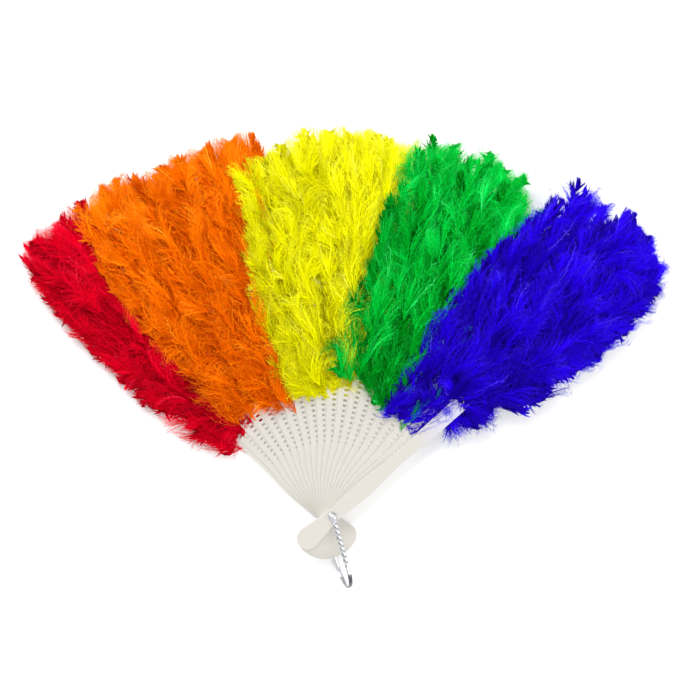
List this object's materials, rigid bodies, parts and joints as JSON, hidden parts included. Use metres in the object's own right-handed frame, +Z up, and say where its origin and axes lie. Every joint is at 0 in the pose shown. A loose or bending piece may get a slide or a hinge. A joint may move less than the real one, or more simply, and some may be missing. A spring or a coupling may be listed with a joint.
{
  "type": "folding feather fan",
  "caption": "Hand fan of pierced plastic sticks on one pivot with a down plume on each stick, a lacing ribbon and a swinging bail; folds into a slim bundle.",
  "frame": {"origin": "centre of the flat foot of the pivot pin's cap, on the surface that the fan lies on", "axes": "+Z up along the pivot pin, from the rear guard to the front guard; +Y along the middle of the open fan; +X across it, towards the front guard"},
  "size_m": [0.465, 0.3345, 0.0407],
  "materials": {
    "stick_plastic": "milky, satin",
    "chrome": "bright plated",
    "ribbon": "satin weave",
    "down_red": "dyed down",
    "down_orange": "dyed down",
    "down_yellow": "dyed down",
    "down_green": "dyed down",
    "down_blue": "dyed down"
  },
  "bodies": {
    "rear_guard": {"rear_guard": "stick_plastic", "plume_rear_guard": "down_red", "pivot_pin": "chrome", "pin_cap": "chrome", "lacing_ribbon": "ribbon"},
    "front_guard": {"front_guard": "stick_plastic", "plume_front_guard": "down_blue"},
    "rib_01": {"rib_01": "stick_plastic", "plume_rib_01": "down_red"},
    "rib_02": {"rib_02": "stick_plastic", "plume_rib_02": "down_red"},
    "rib_03": {"rib_03": "stick_plastic", "plume_rib_03": "down_orange"},
    "rib_04": {"rib_04": "stick_plastic", "plume_rib_04": "down_orange"},
    "rib_05": {"rib_05": "stick_plastic", "plume_rib_05": "down_orange"},
    "rib_06": {"rib_06": "stick_plastic", "plume_rib_06": "down_orange"},
    "rib_07": {"rib_07": "stick_plastic", "plume_rib_07": "down_orange"},
    "rib_08": {"rib_08": "stick_plastic", "plume_rib_08": "down_yellow"},
    "rib_09": {"rib_09": "stick_plastic", "plume_rib_09": "down_yellow"},
    "rib_10": {"rib_10": "stick_plastic", "plume_rib_10": "down_yellow"},
    "rib_11": {"rib_11": "stick_plastic", "plume_rib_11": "down_yellow"},
    "rib_12": {"rib_12": "stick_plastic", "plume_rib_12": "down_yellow"},
    "rib_13": {"rib_13": "stick_plastic", "plume_rib_13": "down_green"},
    "rib_14": {"rib_14": "stick_plastic", "plume_rib_14": "down_green"},
    "rib_15": {"rib_15": "stick_plastic", "plume_rib_15": "down_green"},
    "rib_16": {"rib_16": "stick_plastic", "plume_rib_16": "down_green"},
    "rib_17": {"rib_17": "stick_plastic", "plume_rib_17": "down_blue"},
    "rib_18": {"rib_18": "stick_plastic", "plume_rib_18": "down_blue"},
    "bail": {"bail": "chrome"}
  },
  "joints": [
    {"name": "front_guard_swing", "type": "hinge", "parent": "rear_guard", "child": "front_guard", "pos_m": [0, 0, 0], "axis": [0, 0, 1], "range_deg": [0, 98.4], "deforming": ["lacing_ribbon"]},
    {"name": "rib_01_swing", "type": "hinge", "parent": "rear_guard", "child": "rib_01", "pos_m": [0, 0, 0], "axis": [0, 0, 1], "range_deg": [0, 2.25]},
    {"name": "rib_02_swing", "type": "hinge", "parent": "rear_guard", "child": "rib_02", "pos_m": [0, 0, 0], "axis": [0, 0, 1], "range_deg": [0, 7.67]},
    {"name": "rib_03_swing", "type": "hinge", "parent": "rear_guard", "child": "rib_03", "pos_m": [0, 0, 0], "axis": [0, 0, 1], "range_deg": [0, 13.1]},
    {"name": "rib_04_swing", "type": "hinge", "parent": "rear_guard", "child": "rib_04", "pos_m": [0, 0, 0], "axis": [0, 0, 1], "range_deg": [0, 18.52]},
    {"name": "rib_05_swing", "type": "hinge", "parent": "rear_guard", "child": "rib_05", "pos_m": [0, 0, 0], "axis": [0, 0, 1], "range_deg": [0, 23.94]},
    {"name": "rib_06_swing", "type": "hinge", "parent": "rear_guard", "child": "rib_06", "pos_m": [0, 0, 0], "axis": [0, 0, 1], "range_deg": [0, 29.37]},
    {"name": "rib_07_swing", "type": "hinge", "parent": "rear_guard", "child": "rib_07", "pos_m": [0, 0, 0], "axis": [0, 0, 1], "range_deg": [0, 34.79]},
    {"name": "rib_08_swing", "type": "hinge", "parent": "rear_guard", "child": "rib_08", "pos_m": [0, 0, 0], "axis": [0, 0, 1], "range_deg": [0, 40.22]},
    {"name": "rib_09_swing", "type": "hinge", "parent": "rear_guard", "child": "rib_09", "pos_m": [0, 0, 0], "axis": [0, 0, 1], "range_deg": [0, 45.64]},
    {"name": "rib_10_swing", "type": "hinge", "parent": "rear_guard", "child": "rib_10", "pos_m": [0, 0, 0], "axis": [0, 0, 1], "range_deg": [0, 51.06]},
    {"name": "rib_11_swing", "type": "hinge", "parent": "rear_guard", "child": "rib_11", "pos_m": [0, 0, 0], "axis": [0, 0, 1], "range_deg": [0, 56.48]},
    {"name": "rib_12_swing", "type": "hinge", "parent": "rear_guard", "child": "rib_12", "pos_m": [0, 0, 0], "axis": [0, 0, 1], "range_deg": [0, 61.91]},
    {"name": "rib_13_swing", "type": "hinge", "parent": "rear_guard", "child": "rib_13", "pos_m": [0, 0, 0], "axis": [0, 0, 1], "range_deg": [0, 67.33]},
    {"name": "rib_14_swing", "type": "hinge", "parent": "rear_guard", "child": "rib_14", "pos_m": [0, 0, 0], "axis": [0, 0, 1], "range_deg": [0, 72.76]},
    {"name": "rib_15_swing", "type": "hinge", "parent": "rear_guard", "child": "rib_15", "pos_m": [0, 0, 0], "axis": [0, 0, 1], "range_deg": [0, 78.18]},
    {"name": "rib_16_swing", "type": "hinge", "parent": "rear_guard", "child": "rib_16", "pos_m": [0, 0, 0], "axis": [0, 0, 1], "range_deg": [0, 83.6]},
    {"name": "rib_17_swing", "type": "hinge", "parent": "rear_guard", "child": "rib_17", "pos_m": [0, 0, 0], "axis": [0, 0, 1], "range_deg": [0, 89.03]},
    {"name": "rib_18_swing", "type": "hinge", "parent": "rear_guard", "child": "rib_18", "pos_m": [0, 0, 0], "axis": [0, 0, 1], "range_deg": [0, 94.45]},
    {"name": "bail_swing", "type": "hinge", "parent": "rear_guard", "child": "bail", "pos_m": [0, 0, 0], "axis": [0, 0, 1], "range_deg": [-130, 95]}
  ],
  "couplings": [
    {"joint": "rib_01_swing", "follows": "front_guard_swing", "ratio": 0.022358},
    {"joint": "rib_02_swing", "follows": "front_guard_swing", "ratio": 0.077475},
    {"joint": "rib_03_swing", "follows": "front_guard_swing", "ratio": 0.13259},
    {"joint": "rib_04_swing", "follows": "front_guard_swing", "ratio": 0.18771},
    {"joint": "rib_05_swing", "follows": "front_guard_swing", "ratio": 0.24283},
    {"joint": "rib_06_swing", "follows": "front_guard_swing", "ratio": 0.29794},
    {"joint": "rib_07_swing", "follows": "front_guard_swing", "ratio": 0.35306},
    {"joint": "rib_08_swing", "follows": "front_guard_swing", "ratio": 0.40818},
    {"joint": "rib_09_swing", "follows": "front_guard_swing", "ratio": 0.4633},
    {"joint": "rib_10_swing", "follows": "front_guard_swing", "ratio": 0.51841},
    {"joint": "rib_11_swing", "follows": "front_guard_swing", "ratio": 0.57353},
    {"joint": "rib_12_swing", "follows": "front_guard_swing", "ratio": 0.62865},
    {"joint": "rib_13_swing", "follows": "front_guard_swing", "ratio": 0.68376},
    {"joint": "rib_14_swing", "follows": "front_guard_swing", "ratio": 0.73888},
    {"joint": "rib_15_swing", "follows": "front_guard_swing", "ratio": 0.794},
    {"joint": "rib_16_swing", "follows": "front_guard_swing", "ratio": 0.84911},
    {"joint": "rib_17_swing", "follows": "front_guard_swing", "ratio": 0.90423},
    {"joint": "rib_18_swing", "follows": "front_guard_swing", "ratio": 0.95935}
  ]
}
